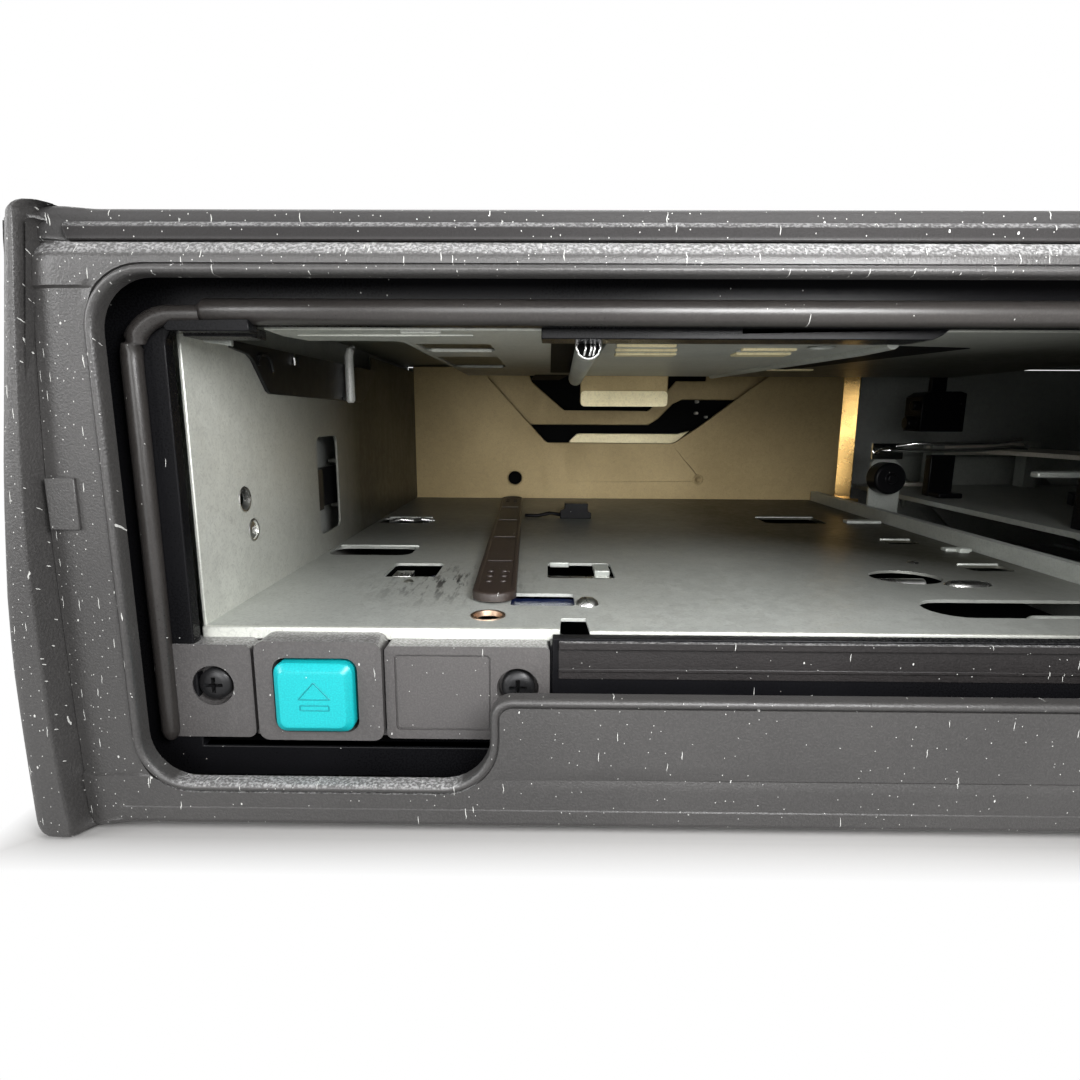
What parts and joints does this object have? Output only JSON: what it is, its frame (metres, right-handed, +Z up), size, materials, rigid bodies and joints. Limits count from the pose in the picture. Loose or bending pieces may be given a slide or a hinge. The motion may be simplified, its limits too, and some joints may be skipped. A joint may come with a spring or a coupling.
{
  "type": "car cd changer",
  "caption": "Slim car disc changer in a pressed steel case with a moulded front, a sliding door open on an empty magazine bay, an eject button and a lifting play deck.",
  "frame": {"origin": "middle of the overall box, on the surface that the unit stands on", "axes": "+X to the right along the front, +Y from the front to the back, +Z up"},
  "size_m": [0.28, 0.17, 0.0725],
  "materials": {
    "front_plastic": "fine grained charcoal moulding with white dust specks",
    "black_plastic": "satin black moulding",
    "panel_plastic": "grained black moulding",
    "button_plastic": "teal satin moulding",
    "zinc_steel": "zinc plated pressed steel",
    "rear_steel": "zinc plated pressed steel with a warm chromate tint",
    "bright_steel": "polished or nickel plated steel",
    "dark_steel": "black finished steel",
    "brown_plastic": "dark brown moulding",
    "pale_plastic": "natural acetal moulding",
    "rubber": "soft damper rubber",
    "lens_glass": "coated lens",
    "board_green": "circuit board with parts"
  },
  "bodies": {
    "case": {"front_bezel": "front_plastic", "inner_frame": "black_plastic", "button_panel": "panel_plastic", "panel_screw_left": "dark_steel", "panel_screw_right": "dark_steel", "top_cover": "zinc_steel", "bottom_cover": "zinc_steel", "chassis_pan": "zinc_steel", "case_screw_left_front": "bright_steel", "case_screw_left_rear": "bright_steel", "case_screw_right_front": "bright_steel", "case_screw_right_rear": "bright_steel", "damper_left_front": "rubber", "damper_left_rear": "rubber", "damper_right_front": "rubber", "damper_right_rear": "rubber", "bay_floor": "zinc_steel", "bay_left_wall": "zinc_steel", "bay_rear_wall": "rear_steel", "bay_top_plate": "zinc_steel", "guide_strip": "brown_plastic", "top_guide_bar": "black_plastic", "lock_bracket": "dark_steel", "lock_wire": "bright_steel", "bay_guide_rail": "zinc_steel", "floor_shaft": "zinc_steel", "lever_spring": "bright_steel", "main_board": "board_green", "rear_socket": "black_plastic", "lift_post_left": "bright_steel", "lift_post_right": "bright_steel", "lift_motor": "bright_steel"},
    "door": {"sliding_door": "front_plastic"},
    "button": {"eject_button": "button_plastic"},
    "lever": {"eject_lever": "dark_steel"},
    "latch": {"magazine_latch": "dark_steel"},
    "deck": {"deck_frame": "zinc_steel", "spindle_motor": "bright_steel", "guide_rod_left": "bright_steel", "guide_rod_right": "bright_steel", "feed_motor": "bright_steel"},
    "platter": {"turntable": "black_plastic"},
    "pickup": {"pickup_sled": "black_plastic", "pickup_lens": "lens_glass"},
    "feed": {"feed_screw": "bright_steel"},
    "clamp": {"clamp_arm": "pale_plastic", "clamp_disc": "black_plastic"},
    "tray_arm": {"tray_lever": "pale_plastic"},
    "lift_slide": {"lift_cam_front": "zinc_steel", "lift_cam_rear": "zinc_steel", "lift_cross_bar": "zinc_steel"},
    "gear": {"lift_gear": "pale_plastic"},
    "worm": {"lift_worm": "bright_steel"}
  },
  "joints": [
    {"name": "door_slide", "type": "slide", "parent": "case", "child": "door", "axis": [-1, 0, 0], "range_m": [0, 0.1304]},
    {"name": "eject_press", "type": "slide", "parent": "case", "child": "button", "axis": [0, 1, 0], "range_m": [0, 0.002], "stiffness_N_per_m": 300, "springref_m": -0.001},
    {"name": "eject_lever_turn", "type": "hinge", "parent": "case", "child": "lever", "pos_m": [-0.084, -0.059, 0.0164], "axis": [0, 0, -1], "range_deg": [0, 5.2]},
    {"name": "latch_swing", "type": "hinge", "parent": "case", "child": "latch", "pos_m": [-0.1264, -0.008, 0.0355], "axis": [0, 0, 1], "range_deg": [0, 8], "stiffness_Nm_per_rad": 0.02},
    {"name": "deck_lift", "type": "slide", "parent": "case", "child": "deck", "axis": [0, 0, 1], "range_m": [-0.0125, 0.0125]},
    {"name": "lift_slide_move", "type": "slide", "parent": "case", "child": "lift_slide", "axis": [1, 0, 0], "range_m": [-0.0125, 0.0125]},
    {"name": "lift_gear_turn", "type": "hinge", "parent": "case", "child": "gear", "pos_m": [0, -0.0552, 0.0113], "axis": [0, 0, 1], "range_deg": [-103, 103]},
    {"name": "lift_worm_turn", "type": "hinge", "parent": "case", "child": "worm", "pos_m": [0, -0.0445, 0.0113], "axis": [1, 0, 0], "range_deg": [-1440, 1440]},
    {"name": "platter_spin", "type": "hinge", "parent": "deck", "child": "platter", "pos_m": [0.065, 0.005, 0.0315], "axis": [0, 0, 1], "continuous": true},
    {"name": "pickup_feed", "type": "slide", "parent": "deck", "child": "pickup", "axis": [0, -1, 0], "range_m": [0, 0.03]},
    {"name": "feed_screw_turn", "type": "hinge", "parent": "deck", "child": "feed", "pos_m": [0.088, -0.033, 0.0235], "axis": [0, 1, 0], "range_deg": [0, 3600.5]},
    {"name": "clamp_swing", "type": "hinge", "parent": "deck", "child": "clamp", "pos_m": [0.065, 0.066, 0.0406], "axis": [-1, 0, 0], "range_deg": [0, 8]},
    {"name": "tray_arm_swing", "type": "hinge", "parent": "deck", "child": "tray_arm", "pos_m": [0.0315, 0.0625, 0.0291], "axis": [0, 0, -1], "range_deg": [0, 140]}
  ],
  "couplings": [
    {"joint": "eject_lever_turn", "follows": "eject_press", "rad_per_m": 43.86},
    {"joint": "lift_slide_move", "follows": "deck_lift", "ratio": 1},
    {"joint": "lift_gear_turn", "follows": "deck_lift", "rad_per_m": 142.86},
    {"joint": "lift_worm_turn", "follows": "deck_lift", "rad_per_m": 2000},
    {"joint": "feed_screw_turn", "follows": "pickup_feed", "rad_per_m": 2094.4}
  ]
}
